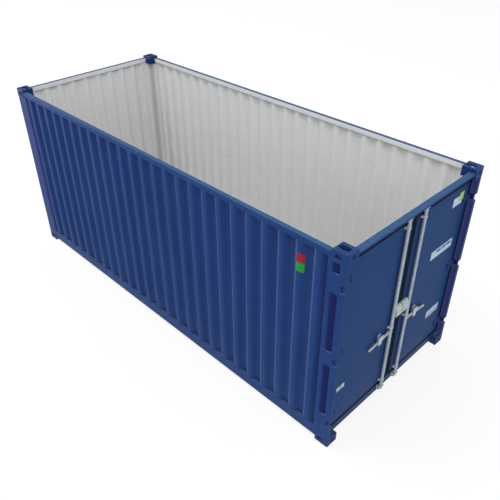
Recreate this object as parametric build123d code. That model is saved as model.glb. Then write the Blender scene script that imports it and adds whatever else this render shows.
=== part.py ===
from build123d import *
from math import atan2, cos, pi, sin, tan
import os

# Millimetres, X along the length with the doors at +X, Y across, Z up from the ground.

os.makedirs("parts", exist_ok=True)

# Container, outside sizes
LENGTH = 6058.0
WIDTH = 2438.0
HEIGHT = 2591.0

# Corner castings
CASTING_L = 178.0
CASTING_W = 162.0
CASTING_H = 118.0
CASTING_FACE_T = 15.0
CASTING_BACK_T = 14.0
CASTING_MOUTH_T = 28.5
CASTING_EDGE_CUT = 8.0
MOUTH_FROM_END = 102.5
MOUTH_FROM_SIDE = 89.5
MOUTH_UP = 58.0
MOUTH_L = 124.5
MOUTH_W = 63.5
SIDE_MOUTH_L = 79.5
SIDE_MOUTH_H = 51.0
END_MOUTH_L = 63.5
END_MOUTH_H = 51.0
MOUTH_FLATS = 6

# Pressed wall sheet
SHEET_T = 2.0
WAVE_CREST = 65.0
WAVE_SLOPE = 52.0
WAVE_VALLEY = 56.5
WAVE_DEPTH = 36.0
WALL_SET_IN = 8.0

# Posts
POST_T = 6.0
POST_SET_IN = 3.0
DOOR_POST_W = 51.0
POST_LIP_L = 35.0
FRONT_POST_FACE = 46.0

# Recesses in the side face of a door post
RECESS_FROM_BACK = 11.0
RECESS_FROM_FRONT = 70.0
RECESS_STEEP_L = 8.0
RECESS_DEPTH = 30.0
RECESS_CORNER_CUT = 14.0
RECESS_OVER_HINGE = 105.0
RECESS_UNDER_HINGE = 83.0
TOP_RECESS_H = 120.0
TOP_RECESS_DOWN = 8.0

# Hinges
HINGE_OVER_LEAF_FOOT = 148.0
HINGE_UNDER_LEAF_TOP = 203.0
HINGE_IN_FROM_END = 31.0
HINGE_IN_FROM_SIDE = 27.0
PIN_R = 9.0
PIN_PLAY = 0.3
NOTCH_H = 84.0
NOTCH_PLAY = 6.0
LUG_T = 12.0
BLADE_H = 66.0
BLADE_T = 10.0
BLADE_ON_LEAF = 100.0
BLADE_LEG_T = 12.0
BLADE_BEND_R = 9.0
EYE_R = 15.0
EYE_FLATS = 16

# Rails
TOP_RAIL = 60.0
TOP_RAIL_T = 3.0
TOP_RAIL_DOWN = 33.0
RAIL_SET_IN = 4.0
BOTTOM_RAIL_UP = 52.0
BOTTOM_RAIL_H = 138.0
BOTTOM_RAIL_FLANGE = 48.0
BOTTOM_RAIL_T = 4.5

# Header and sill at the door end
DOOR_FRAME_SET_IN = 79.0
VISOR_SET_IN = 7.0
VISOR_L = 78.0
VISOR_H = 24.0
VISOR_DOWN = 45.0
VISOR_T = 4.0
HEADER_T = 6.0
HEADER_H = 106.0
HEADER_FLANGE = 50.0
SILL_T = 4.0
SILL_H = 128.0
SILL_FLANGE = 80.0

# Floor and cross members
FLOOR_T = 28.0
FLOOR_UP = 150.0
FLOOR_PLAY = 3.0
FLOOR_FRONT_IN = 53.0
FLOOR_CORNER = (126.0, 112.0)
CROSS_PITCH = 330.0
CROSS_FROM_CASTING = 51.0
CROSS_FLANGE = 45.0
CROSS_T = 4.0

# Door leaf
LEAF_T = 50.0
LEAF_PROUD = 7.0
LEAF_GAP = 32.0
LEAF_FROM_MIDDLE = 45.0
SKIN_T = 3.0
LEAF_FRAME_W = 80.0
STIFFENER_COUNT = 3
STIFFENER_H = 100.0
STIFFENER_DEPTH = 35.0

# Rubber seal round each leaf
SEAL_BODY = 30.0
SEAL_LIP = 46.0
SEAL_DEPTH = 35.0
SEAL_PLAY = 0.3
SEAL_POST_PLAY = 0.5
SEAL_MIDDLE_GAP = 10.0

# Locking bar
BAR_OUT = 24.0
BAR_Y = 150.0
BAR_R = 19.0
BAR_T = 3.0
BAR_PLAY = 0.3
CAM_H = 36.0
CAM_R = 22.0
CAM_REACH = 31.0
CAM_NOSE_HALF = 10.0
CAM_NOSE_CUT = 6.0
GUIDE_IN = 25.0
GUIDE_OVER_HANDLE = 65.0
GUIDE_R = 24.0
GUIDE_H = 30.0
GUIDE_PLATE = (88.0, 30.0)
GUIDE_PLATE_T = 4.0

# Cam keepers on the sill and the header
KEEPER_OVER_SILL_FOOT = 60.0
KEEPER_UNDER_VISOR = 36.0
KEEPER_PLATE = (92.0, 52.0)
KEEPER_PLATE_T = 4.0
KEEPER_GAP = 36.0
KEEPER_EAR_T = 8.0
KEEPER_EAR_H = 44.0
KEEPER_DEPTH = 46.0
KEEPER_CORNER_CUT = 12.0

# Handle and its fork
HANDLE_Z = 1010.0
FORK_REACH = 58.0
FORK_EAR_T = 6.0
FORK_H = 36.0
PIVOT_OUT = 42.0
PIVOT_R = 6.0
PIVOT_PLAY = 0.3
HANDLE_T = 14.0
HANDLE_PLAY = 0.5
HANDLE_REACH = 363.0
HANDLE_DROOP = 35.0
HANDLE_ROOT_H = 34.0
HANDLE_NECK_H = 24.0
HANDLE_END_H = 28.0
HASP = (100.0, 84.0)
HASP_T = 6.0
HASP_CORNER_CUT = 16.0

# Handle retainer
RETAINER_OUT = 153.0
RETAINER_W = 60.0
RETAINER_UNDER_HANDLE = 58.0
RETAINER_H = 125.0
RETAINER_T = 4.0
RETAINER_DEPTH = 26.0
SHELF_T = 5.0
APRON_H = 40.0
SHELF_PLAY = 3.0

# Lock box, one half on each door
LOCK_BOX_OUT = 118.0
LOCK_BOX_OVER_HANDLE = 195.0
LOCK_BOX_H = 130.0
LOCK_BOX_DEPTH = 47.0
LOCK_BOX_SLOPE = (27.0, 40.0)
LOCK_BOX_T = 4.0

# Frame sizes that follow from the ones above
END_X = LENGTH / 2
SIDE_Y = WIDTH / 2
CASTING_X = END_X - CASTING_L
CASTING_Y = SIDE_Y - CASTING_W
CASTING_TOP = HEIGHT - CASTING_H
POST_X = END_X - POST_SET_IN
POST_Y = SIDE_Y - POST_SET_IN
DOOR_POST_Y = POST_Y - DOOR_POST_W
RAIL_Y = SIDE_Y - RAIL_SET_IN
RAIL_X = END_X - RAIL_SET_IN
TOP_RAIL_TOP = HEIGHT - TOP_RAIL_DOWN
TOP_RAIL_Z = TOP_RAIL_TOP - TOP_RAIL
BOTTOM_RAIL_Z = (BOTTOM_RAIL_UP, BOTTOM_RAIL_UP + BOTTOM_RAIL_H)
DOOR_FRAME_X = END_X - DOOR_FRAME_SET_IN
VISOR_FRONT_X = END_X - VISOR_SET_IN
VISOR_X = (VISOR_FRONT_X - VISOR_L, VISOR_FRONT_X)
VISOR_TOP = HEIGHT - VISOR_DOWN
VISOR_Z = (VISOR_TOP - VISOR_H, VISOR_TOP)
HEADER_Z = VISOR_TOP - HEADER_H
HEADER_FLANGE_X = DOOR_FRAME_X - HEADER_FLANGE
SILL_Z = (BOTTOM_RAIL_UP, BOTTOM_RAIL_UP + SILL_H)
SILL_FLANGE_X = DOOR_FRAME_X - SILL_FLANGE
LIP_X = CASTING_X - POST_LIP_L
WALL_Y = SIDE_Y - WALL_SET_IN
WALL_X = END_X - WALL_SET_IN
LIP_Y = WALL_Y - WAVE_DEPTH - SHEET_T
WALL_Z = (BOTTOM_RAIL_Z[1], TOP_RAIL_Z)
WAVE_PITCH = WAVE_CREST + 2 * WAVE_SLOPE + WAVE_VALLEY
FLOOR_Z = (FLOOR_UP, FLOOR_UP + FLOOR_T)
FLOOR_X = (FLOOR_FRONT_IN - END_X, SILL_FLANGE_X - FLOOR_PLAY)
FLOOR_HALF_W = RAIL_Y - BOTTOM_RAIL_FLANGE - FLOOR_PLAY
CROSS_REACH = CASTING_X - CROSS_FROM_CASTING

# Door sizes that follow
FACE_X = DOOR_FRAME_X + LEAF_PROUD
LEAF_X = (FACE_X - LEAF_T, FACE_X)
LEAF_Y = (LEAF_FROM_MIDDLE, DOOR_POST_Y - SEAL_LIP - SEAL_POST_PLAY)
LEAF_Z = (SILL_Z[1] + LEAF_GAP, HEADER_Z - LEAF_GAP)
SEAL_BACK_X = DOOR_FRAME_X - SEAL_DEPTH
PIN_X = END_X - HINGE_IN_FROM_END
PIN_Y = SIDE_Y - HINGE_IN_FROM_SIDE
POCKET_BACK_X = FACE_X - NOTCH_PLAY
POCKET_SIDE_Y = POST_Y - 2 * POST_T
NOTCH_BACK_X = PIN_X - EYE_R - NOTCH_PLAY
LOW_HINGE = LEAF_Z[0] + HINGE_OVER_LEAF_FOOT
HIGH_HINGE = LEAF_Z[1] - HINGE_UNDER_LEAF_TOP
HINGE_LEVELS = [LOW_HINGE, (LOW_HINGE + HIGH_HINGE) / 2, HIGH_HINGE]
BLADE_Y = (LEAF_Y[1] - BLADE_ON_LEAF, PIN_Y + BLADE_LEG_T / 2)
RECESS_X = (CASTING_X + RECESS_FROM_BACK, POST_X - RECESS_FROM_FRONT)
RECESS_DEEPEST_X = RECESS_X[1] - RECESS_STEEP_L
RECESS_TOP = CASTING_TOP - TOP_RECESS_DOWN
BAR_X = FACE_X + BAR_OUT
PIVOT_Y = BAR_Y + PIVOT_OUT
GUIDE_LEVELS = [LEAF_Z[0] + GUIDE_IN, HANDLE_Z + GUIDE_OVER_HANDLE, LEAF_Z[1] - GUIDE_IN]
KEEPER_LEVELS = (SILL_Z[0] + KEEPER_OVER_SILL_FOOT, VISOR_Z[0] - KEEPER_UNDER_VISOR)
KEEPER_FRONT_X = DOOR_FRAME_X + KEEPER_DEPTH
HANDLE_END_Y = PIVOT_Y + HANDLE_REACH
RETAINER_Y = PIVOT_Y + RETAINER_OUT
RETAINER_FOOT = HANDLE_Z - RETAINER_UNDER_HANDLE
RETAINER_Z = (RETAINER_FOOT, RETAINER_FOOT + RETAINER_H)
RETAINER_REACH_X = FACE_X + RETAINER_DEPTH
LOCK_BOX_Y = (SEAL_MIDDLE_GAP / 2, LOCK_BOX_OUT)
LOCK_BOX_FOOT = HANDLE_Z + LOCK_BOX_OVER_HANDLE
LOCK_BOX_Z = (LOCK_BOX_FOOT, LOCK_BOX_FOOT + LOCK_BOX_H)
LOCK_BOX_FRONT_X = FACE_X + LOCK_BOX_DEPTH


def block(xs, ys, zs):
    """A box between two values on each axis."""
    spans = [(min(pair), max(pair)) for pair in (xs, ys, zs)]
    sizes = [high - low for low, high in spans]
    middles = [(low + high) / 2 for low, high in spans]
    return Pos(*middles) * Box(*sizes)


def prism_x(points, x0, x1):
    """A (y, z) outline carried along X."""
    face = Plane.YZ.offset(x0) * Polygon(*points, align=None)
    return extrude(face, amount=x1 - x0, dir=(1, 0, 0))


def prism_y(points, y0, y1):
    """An (x, z) outline carried along Y."""
    face = Plane.XZ.offset(-y0) * Polygon(*points, align=None)
    return extrude(face, amount=y1 - y0, dir=(0, 1, 0))


def prism_z(points, z0, z1):
    """An (x, y) outline carried upwards."""
    face = Pos(0, 0, z0) * Polygon(*points, align=None)
    return extrude(face, amount=z1 - z0, dir=(0, 0, 1))


def upright(x, y, r, z0, z1):
    """A round bar standing between two heights."""
    return Pos(x, y, (z0 + z1) / 2) * Cylinder(r, z1 - z0)


def along_x(y, z, r, x0, x1):
    """A round bar lying along X."""
    return Pos((x0 + x1) / 2, y, z) * Rot(0, 90, 0) * Cylinder(r, x1 - x0)


def on_left(shape):
    """The same piece on the other side of the container."""
    return mirror(shape, about=Plane.XZ)


def at_front(shape):
    """The same piece at the front end."""
    return mirror(shape, about=Plane.YZ)


def save(name, shape):
    """Write one piece; shapes in a list stay separate solids of it."""
    if isinstance(shape, list):
        shape = Compound(children=[solid for one in shape for solid in one.solids()])
    export_step(shape, f"parts/{name}.step")


def save_pair(name, shape):
    """Write a right-hand piece and its left-hand twin."""
    save(f"{name}_right", shape)
    save(f"{name}_left", on_left(shape))


# Corner castings
def mouth(length, height):
    """A long hole lying on its side, its round ends cast as short flats."""
    r = height / 2
    points = []
    for side in (1, -1):
        for step in range(MOUTH_FLATS + 1):
            turn = pi * (step / MOUTH_FLATS - 0.5)
            points.append((side * (length / 2 - r + r * cos(turn)), side * r * sin(turn)))
    return Polygon(*points, align=None)


def casting():
    """Top right casting of the door end: thick walls round a hollow with three mouths."""
    body = block((CASTING_X, END_X), (CASTING_Y, SIDE_Y), (CASTING_TOP, HEIGHT))
    corner = body.edges().filter_by(Axis.Z).sort_by(lambda edge: edge.center().X + edge.center().Y)
    body = chamfer(corner[-1], CASTING_EDGE_CUT)
    hollow = block(
        (CASTING_X + CASTING_BACK_T, END_X - CASTING_FACE_T),
        (CASTING_Y + CASTING_BACK_T, SIDE_Y - CASTING_FACE_T),
        (CASTING_TOP + CASTING_BACK_T, HEIGHT - CASTING_MOUTH_T),
    )
    mouth_x = END_X - MOUTH_FROM_END
    mouth_y = SIDE_Y - MOUTH_FROM_SIDE
    mouth_z = HEIGHT - MOUTH_UP
    top = Plane((mouth_x, mouth_y, HEIGHT), x_dir=(1, 0, 0), z_dir=(0, 0, 1))
    side = Plane((mouth_x, SIDE_Y, mouth_z), x_dir=(1, 0, 0), z_dir=(0, 1, 0))
    end = Plane((END_X, mouth_y, mouth_z), x_dir=(0, 1, 0), z_dir=(1, 0, 0))
    body -= hollow
    body -= extrude(top * SlotOverall(MOUTH_L, MOUTH_W), amount=-CASTING_MOUTH_T)
    body -= extrude(side * mouth(SIDE_MOUTH_L, SIDE_MOUTH_H), amount=-CASTING_FACE_T)
    body -= extrude(end * mouth(END_MOUTH_L, END_MOUTH_H), amount=-CASTING_FACE_T)
    return body


def castings():
    top = casting()
    bottom = mirror(top, about=Plane.XY.offset(HEIGHT / 2))
    save_pair("casting_door_top", top)
    save_pair("casting_door_bottom", bottom)
    save_pair("casting_front_top", at_front(top))
    save_pair("casting_front_bottom", at_front(bottom))


# Walls
def wave_outline(reach):
    """Both sides of the pressed sheet: distance along the wall, depth behind its outer plane."""
    crests = int((2 * reach + WAVE_VALLEY) / WAVE_PITCH)
    lean = SHEET_T * tan(atan2(WAVE_DEPTH, WAVE_SLOPE) / 2)
    outside = [(-reach, WAVE_DEPTH)]
    inside = [(-reach, WAVE_DEPTH + SHEET_T)]
    for number in range(crests):
        centre = (number - (crests - 1) / 2) * WAVE_PITCH
        for side in (-1, 1):
            top = centre + side * WAVE_CREST / 2
            foot = top + side * WAVE_SLOPE
            corners = [(foot, WAVE_DEPTH), (top, 0)][::-side]
            outside += corners
            inside += [(along - side * lean, depth + SHEET_T) for along, depth in corners]
    outside.append((reach, WAVE_DEPTH))
    inside.append((reach, WAVE_DEPTH + SHEET_T))
    return outside + inside[::-1]


def walls():
    side = [(along, WALL_Y - depth) for along, depth in wave_outline(LIP_X)]
    front = [(depth - WALL_X, along) for along, depth in wave_outline(CASTING_Y)]
    save_pair("side_wall", prism_z(side, *WALL_Z))
    save("front_wall", prism_z(front, *WALL_Z))


# Posts
def wedge(low, high, grow=0.0):
    """The space of a recess, deepest near the door end, or that space with its walls."""
    floor = POST_Y - RECESS_DEPTH - grow
    outline = [
        (RECESS_X[0] - grow, POST_Y), (RECESS_DEEPEST_X, floor), (RECESS_X[1] + grow, POST_Y)]
    return prism_z(outline, low - grow, high + grow)


def recess(low, high):
    """A wedge pressed into the side face of a door post, with its corners cut off."""
    x0, x1 = RECESS_X
    outline = chamfer(Rectangle(x1 - x0, high - low).vertices(), RECESS_CORNER_CUT)
    place = Pos((x0 + x1) / 2, POST_Y, (low + high) / 2) * Rot(90, 0, 0)
    return wedge(low, high) & place * extrude(outline, amount=RECESS_DEPTH, both=True)


def recess_spans():
    """Low and high end of each recess: one between two hinges, and a short one on top."""
    spans = []
    for below, above in zip(HINGE_LEVELS, HINGE_LEVELS[1:]):
        spans.append((below + RECESS_OVER_HINGE, above - RECESS_UNDER_HINGE))
    return spans + [(RECESS_TOP - TOP_RECESS_H, RECESS_TOP)]


def notch(level, grow=0.0, lug=0.0):
    """Where a hinge blade swings: an open corner, and a pocket behind it for the bend."""
    half = NOTCH_H / 2 + lug
    side = POCKET_SIDE_Y + grow
    outline = [
        (POST_X, DOOR_POST_Y), (POST_X, POST_Y), (NOTCH_BACK_X - grow, POST_Y),
        (NOTCH_BACK_X - grow, side), (POCKET_BACK_X - grow, side),
        (POCKET_BACK_X - grow, DOOR_POST_Y)]
    return prism_z(outline, level - half, level + half)


def post_lip():
    """The plate beside a post that the side wall is welded to."""
    lip = block((LIP_X, CASTING_X), (LIP_Y, POST_Y), WALL_Z)
    lip -= block((LIP_X + POST_T, CASTING_X - POST_T), (LIP_Y + POST_T, POST_Y - POST_T), WALL_Z)
    return lip


def door_post():
    span = (CASTING_H, CASTING_TOP)
    post = block((CASTING_X, POST_X), (DOOR_POST_Y, POST_Y), span)
    core = block(
        (CASTING_X + POST_T, POST_X - POST_T), (DOOR_POST_Y + POST_T, POST_Y - POST_T), span)
    for low, high in recess_spans():
        post -= recess(low, high)
        core -= wedge(low, high, POST_T)
    for level in HINGE_LEVELS:
        post -= notch(level)
        core -= notch(level, POST_T, LUG_T)
    return post - core + post_lip()


def front_post():
    outline = [
        (-POST_X, POST_Y),
        (-CASTING_X, POST_Y),
        (-CASTING_X, LIP_Y),
        (-POST_X + FRONT_POST_FACE, CASTING_Y),
        (-POST_X, CASTING_Y),
    ]
    face = Pos(0, 0, CASTING_H) * Polygon(*outline, align=None)
    wall = face - offset(face, amount=-POST_T, kind=Kind.INTERSECTION)
    post = extrude(wall, amount=CASTING_TOP - CASTING_H, dir=(0, 0, 1))
    return post + at_front(post_lip())


def hinge_pins():
    """Pins standing between the lug plates of each notch."""
    half = NOTCH_H / 2
    pins = [upright(PIN_X, PIN_Y, PIN_R, level - half, level + half) for level in HINGE_LEVELS]
    return pins + [on_left(pin) for pin in pins]


def posts():
    save_pair("door_post", door_post())
    save_pair("front_post", front_post())
    save("hinge_pins", hinge_pins())


# Rails
def square_tube(xs, ys):
    """A rail along the longer of the two spans, open at both ends."""
    zs = (TOP_RAIL_Z, TOP_RAIL_TOP)
    bore_z = (zs[0] + TOP_RAIL_T, zs[1] - TOP_RAIL_T)
    if xs[1] - xs[0] > ys[1] - ys[0]:
        bore = block(xs, (ys[0] + TOP_RAIL_T, ys[1] - TOP_RAIL_T), bore_z)
    else:
        bore = block((xs[0] + TOP_RAIL_T, xs[1] - TOP_RAIL_T), ys, bore_z)
    return block(xs, ys, zs) - bore


def channel(outer, inner, low, high, thickness):
    """Outline of a channel: web at outer, flanges reaching to inner, as (across, height)."""
    step = thickness if outer > inner else -thickness
    return [
        (inner, low), (outer, low), (outer, high), (inner, high),
        (inner, high - thickness), (outer - step, high - thickness),
        (outer - step, low + thickness), (inner, low + thickness),
    ]


def rails():
    top = square_tube((-CASTING_X, CASTING_X), (RAIL_Y - TOP_RAIL, RAIL_Y))
    front = square_tube((-RAIL_X, TOP_RAIL - RAIL_X), (-CASTING_Y, CASTING_Y))
    bottom = channel(RAIL_Y, RAIL_Y - BOTTOM_RAIL_FLANGE, *BOTTOM_RAIL_Z, BOTTOM_RAIL_T)
    sill = channel(-RAIL_X, BOTTOM_RAIL_FLANGE - RAIL_X, *BOTTOM_RAIL_Z, BOTTOM_RAIL_T)
    save_pair("top_rail", top)
    save("front_top_rail", front)
    save_pair("bottom_rail", prism_x(bottom, -CASTING_X, CASTING_X))
    save("front_sill", prism_y(sill, -CASTING_Y, CASTING_Y))


# Header and sill of the door end
def door_header():
    """A stop web behind the seals with a flat hollow visor over it."""
    between = (-CASTING_Y, CASTING_Y)
    web_x = (DOOR_FRAME_X - HEADER_T, DOOR_FRAME_X)
    post_to_post = (-DOOR_POST_Y, DOOR_POST_Y)
    visor = block(VISOR_X, between, VISOR_Z) - block(
        (VISOR_X[0] + VISOR_T, VISOR_X[1] - VISOR_T), between,
        (VISOR_Z[0] + VISOR_T, VISOR_Z[1] - VISOR_T))
    web = block(web_x, between, (HEADER_Z, VISOR_Z[0]))
    web += block(web_x, post_to_post, (HEADER_Z, CASTING_TOP))
    flange = block((HEADER_FLANGE_X, DOOR_FRAME_X), post_to_post, (HEADER_Z, HEADER_Z + HEADER_T))
    return visor + web + flange


def door_sill():
    """A channel between the lower castings, wider above them up to the posts."""
    outline = channel(DOOR_FRAME_X, SILL_FLANGE_X, *SILL_Z, SILL_T)
    sill = prism_y(outline, -DOOR_POST_Y, DOOR_POST_Y)
    for side in (-1, 1):
        sill -= block((CASTING_X, END_X), (side * CASTING_Y, side * SIDE_Y), (0, CASTING_H))
    return sill


# Floor
def floor():
    x0, x1 = FLOOR_X
    y = FLOOR_HALF_W
    cut_x, cut_y = FLOOR_CORNER
    outline = [
        (x1, -y), (x1, y), (x0 + cut_x, y), (x0, y - cut_y), (x0, cut_y - y), (x0 + cut_x, -y)]
    return prism_z(outline, *FLOOR_Z)


def cross_members():
    reach = RAIL_Y - BOTTOM_RAIL_T
    low = BOTTOM_RAIL_Z[0] + BOTTOM_RAIL_T
    gaps = round(2 * CROSS_REACH / CROSS_PITCH)
    pitch = 2 * CROSS_REACH / gaps
    members = []
    for number in range(gaps + 1):
        back = number * pitch - CROSS_REACH
        outline = channel(back, back - CROSS_FLANGE, low, FLOOR_Z[0], CROSS_T)
        members.append(prism_y(outline, -reach, reach))
    return members


# Doors, the right-hand one; its twin is mirrored
def door_leaf():
    """Flat outer skin on a hollow frame, with three hollow stiffeners across the back."""
    skin = block((FACE_X - SKIN_T, FACE_X), LEAF_Y, LEAF_Z)
    inner_y = (LEAF_Y[0] + LEAF_FRAME_W, LEAF_Y[1] - LEAF_FRAME_W)
    inner_z = (LEAF_Z[0] + LEAF_FRAME_W, LEAF_Z[1] - LEAF_FRAME_W)
    back = (LEAF_X[0], FACE_X - SKIN_T)
    bore = block(
        (back[0] + SKIN_T, back[1]), (LEAF_Y[0] + SKIN_T, LEAF_Y[1] - SKIN_T),
        (LEAF_Z[0] + SKIN_T, LEAF_Z[1] - SKIN_T))
    bore -= block(
        back, (inner_y[0] - SKIN_T, inner_y[1] + SKIN_T), (inner_z[0] - SKIN_T, inner_z[1] + SKIN_T))
    leaf = skin + block(back, LEAF_Y, LEAF_Z) - block(back, inner_y, inner_z) - bore
    for number in range(1, STIFFENER_COUNT + 1):
        level = LEAF_Z[0] + (LEAF_Z[1] - LEAF_Z[0]) * number / (STIFFENER_COUNT + 1)
        x0 = FACE_X - SKIN_T - STIFFENER_DEPTH
        half = STIFFENER_H / 2
        bar = block((x0, back[1]), inner_y, (level - half, level + half))
        half -= SKIN_T
        bar -= block((x0 + SKIN_T, back[1]), inner_y, (level - half, level + half))
        leaf += bar
    return leaf


def seal_ring(xs, grow, middle):
    """A band round the leaf; it is narrower on the side where the two doors meet."""
    ys = (LEAF_Y[0] - middle, LEAF_Y[1] + grow)
    zs = (LEAF_Z[0] - grow, LEAF_Z[1] + grow)
    return block(xs, ys, zs) - block(xs, LEAF_Y, LEAF_Z)


def seal():
    """Rubber body round the leaf's edge and a wider lip over the frame's front."""
    lip_middle = LEAF_Y[0] - SEAL_MIDDLE_GAP / 2
    body = seal_ring((SEAL_BACK_X, DOOR_FRAME_X + SEAL_PLAY), SEAL_BODY, SEAL_BODY)
    lip = seal_ring((DOOR_FRAME_X + SEAL_PLAY, FACE_X), SEAL_LIP, lip_middle)
    return body + lip


def hinge_blade(level):
    """A plate from the leaf over the seal, bent forward to a forged eye round the pin."""
    zs = (level - BLADE_H / 2, level + BLADE_H / 2)
    blade = block((FACE_X, FACE_X + BLADE_T), BLADE_Y, zs)
    blade += block((FACE_X, PIN_X), (BLADE_Y[1] - BLADE_LEG_T, BLADE_Y[1]), zs)
    upright_edges = blade.edges().filter_by(Axis.Z)
    bend = upright_edges.sort_by(lambda edge: edge.center().Y - edge.center().X)
    eye = Pos(PIN_X, PIN_Y, zs[0]) * extrude(RegularPolygon(EYE_R, EYE_FLATS), amount=BLADE_H)
    blade = fillet(bend[-1], BLADE_BEND_R) + eye
    return blade - upright(PIN_X, PIN_Y, PIN_R + PIN_PLAY, *zs)


def bar_guide(level):
    """A plate on the leaf and a round-fronted strap that the locking bar turns in."""
    wide, high = GUIDE_PLATE
    plate = block(
        (FACE_X, FACE_X + GUIDE_PLATE_T), (BAR_Y - wide / 2, BAR_Y + wide / 2),
        (level - high / 2, level + high / 2))
    zs = (level - GUIDE_H / 2, level + GUIDE_H / 2)
    strap = block((FACE_X, BAR_X), (BAR_Y - GUIDE_R, BAR_Y + GUIDE_R), zs)
    strap += upright(BAR_X, BAR_Y, GUIDE_R, *zs)
    r = BAR_R + BAR_PLAY
    strap -= upright(BAR_X, BAR_Y, r, *zs) + block((FACE_X, BAR_X), (BAR_Y - r, BAR_Y + r), zs)
    return plate + strap


def handle_height(y):
    """Height of the handle's middle line at a distance across the door."""
    return HANDLE_Z - HANDLE_DROOP * (y - PIVOT_Y) / (HANDLE_END_Y - PIVOT_Y)


def handle_retainer():
    """A plate on the leaf with a shelf, turned down at its front, that carries the handle."""
    ys = (RETAINER_Y - RETAINER_W / 2, RETAINER_Y + RETAINER_W / 2)
    front = FACE_X + RETAINER_T
    under = handle_height(ys[1]) - HANDLE_ROOT_H / 2 - SHELF_PLAY
    plate = block((FACE_X, front), ys, RETAINER_Z)
    shelf = block((front, RETAINER_REACH_X), ys, (under - SHELF_T, under))
    web = prism_y(
        [(front, RETAINER_Z[0]), (RETAINER_REACH_X, under - SHELF_T), (front, under - SHELF_T)],
        RETAINER_Y - SHELF_T / 2, RETAINER_Y + SHELF_T / 2)
    apron = block((RETAINER_REACH_X, RETAINER_REACH_X + SHELF_T), ys, (under - APRON_H, under))
    return plate + shelf + web + apron


def lock_box():
    """Half of the hood over the padlock, open below and towards the other half."""
    foot, top = LOCK_BOX_Z
    slope_l, slope_h = LOCK_BOX_SLOPE
    outline = Polygon(
        (FACE_X, foot), (LOCK_BOX_FRONT_X, foot), (LOCK_BOX_FRONT_X, top - slope_h),
        (LOCK_BOX_FRONT_X - slope_l, top), (FACE_X, top), align=None)
    across = Plane.XZ.offset(-LOCK_BOX_Y[0])
    inside = offset(outline, amount=-LOCK_BOX_T, kind=Kind.INTERSECTION)
    width = LOCK_BOX_Y[1] - LOCK_BOX_Y[0]
    box = extrude(across * outline, amount=width, dir=(0, 1, 0))
    box -= extrude(across * inside, amount=width - LOCK_BOX_T, dir=(0, 1, 0))
    return box - block(
        (FACE_X + LOCK_BOX_T, LOCK_BOX_FRONT_X - LOCK_BOX_T),
        (LOCK_BOX_Y[0], LOCK_BOX_Y[1] - LOCK_BOX_T), (foot, foot + LOCK_BOX_T))


def doors():
    save_pair("door_leaf", door_leaf())
    save_pair("gasket", seal())
    blades = [hinge_blade(level) for level in HINGE_LEVELS]
    guides = [bar_guide(level) for level in GUIDE_LEVELS]
    save("hinge_blades_right", blades)
    save("hinge_blades_left", [on_left(blade) for blade in blades])
    save("bar_guides_right", guides)
    save("bar_guides_left", [on_left(guide) for guide in guides])
    save_pair("handle_retainer", handle_retainer())
    save_pair("lock_box", lock_box())


# Locking gear
def cam(level):
    """A disc on the bar's end with a nose pointing away from the middle of the doors."""
    zs = (level - CAM_H / 2, level + CAM_H / 2)
    tip = BAR_Y + CAM_REACH
    nose = prism_z([
        (BAR_X - CAM_R, BAR_Y),
        (BAR_X - CAM_NOSE_HALF, tip - CAM_NOSE_CUT),
        (BAR_X - CAM_NOSE_HALF + CAM_NOSE_CUT, tip),
        (BAR_X + CAM_NOSE_HALF - CAM_NOSE_CUT, tip),
        (BAR_X + CAM_NOSE_HALF, tip - CAM_NOSE_CUT),
        (BAR_X + CAM_R, BAR_Y),
    ], *zs)
    return upright(BAR_X, BAR_Y, CAM_R, *zs) + nose


def lock_bar():
    """Tube let into a cam at each end, with a fork that holds the handle's pivot."""
    bar = upright(BAR_X, BAR_Y, BAR_R, *KEEPER_LEVELS)
    fork_x = HANDLE_T / 2 + HANDLE_PLAY
    for side in (-1, 1):
        xs = (BAR_X + side * fork_x, BAR_X + side * (fork_x + FORK_EAR_T))
        bar += block(
            xs, (BAR_Y, BAR_Y + FORK_REACH - FORK_H / 2),
            (HANDLE_Z - FORK_H / 2, HANDLE_Z + FORK_H / 2))
        bar += along_x(BAR_Y + FORK_REACH - FORK_H / 2, HANDLE_Z, FORK_H / 2, min(xs), max(xs))
    bar -= upright(BAR_X, BAR_Y, BAR_R - BAR_T, *KEEPER_LEVELS)
    for level in KEEPER_LEVELS:
        bar += cam(level)
    return bar + along_x(PIVOT_Y, HANDLE_Z, PIVOT_R, BAR_X - fork_x, BAR_X + fork_x)


def hasp(x0):
    """A plate on the handle's front, its lower edge level with the handle's."""
    wide, high = HASP
    low = handle_height(RETAINER_Y) - HANDLE_NECK_H / 2
    plate = block(
        (x0, x0 + HASP_T), (RETAINER_Y - wide / 2, RETAINER_Y + wide / 2), (low, low + high))
    return chamfer(plate.edges().filter_by(Axis.X), HASP_CORNER_CUT)


def handle():
    """Flat lever with a slim neck behind the hasp, round at the pivot and at the grip."""
    xs = (BAR_X - HANDLE_T / 2, BAR_X + HANDLE_T / 2)
    tip_y = HANDLE_END_Y - HANDLE_END_H / 2
    tip_z = handle_height(tip_y)
    neck_z = handle_height(RETAINER_Y)
    lever = prism_x([
        (PIVOT_Y, HANDLE_Z - HANDLE_ROOT_H / 2),
        (RETAINER_Y, neck_z - HANDLE_NECK_H / 2),
        (tip_y, tip_z - HANDLE_END_H / 2),
        (tip_y, tip_z + HANDLE_END_H / 2),
        (RETAINER_Y, neck_z + HANDLE_NECK_H / 2),
        (PIVOT_Y, HANDLE_Z + HANDLE_ROOT_H / 2),
    ], *xs)
    lever += along_x(PIVOT_Y, HANDLE_Z, HANDLE_ROOT_H / 2, *xs)
    lever += along_x(tip_y, tip_z, HANDLE_END_H / 2, *xs)
    lever += hasp(xs[1])
    return lever - along_x(PIVOT_Y, HANDLE_Z, PIVOT_R + PIVOT_PLAY, *xs)


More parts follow.
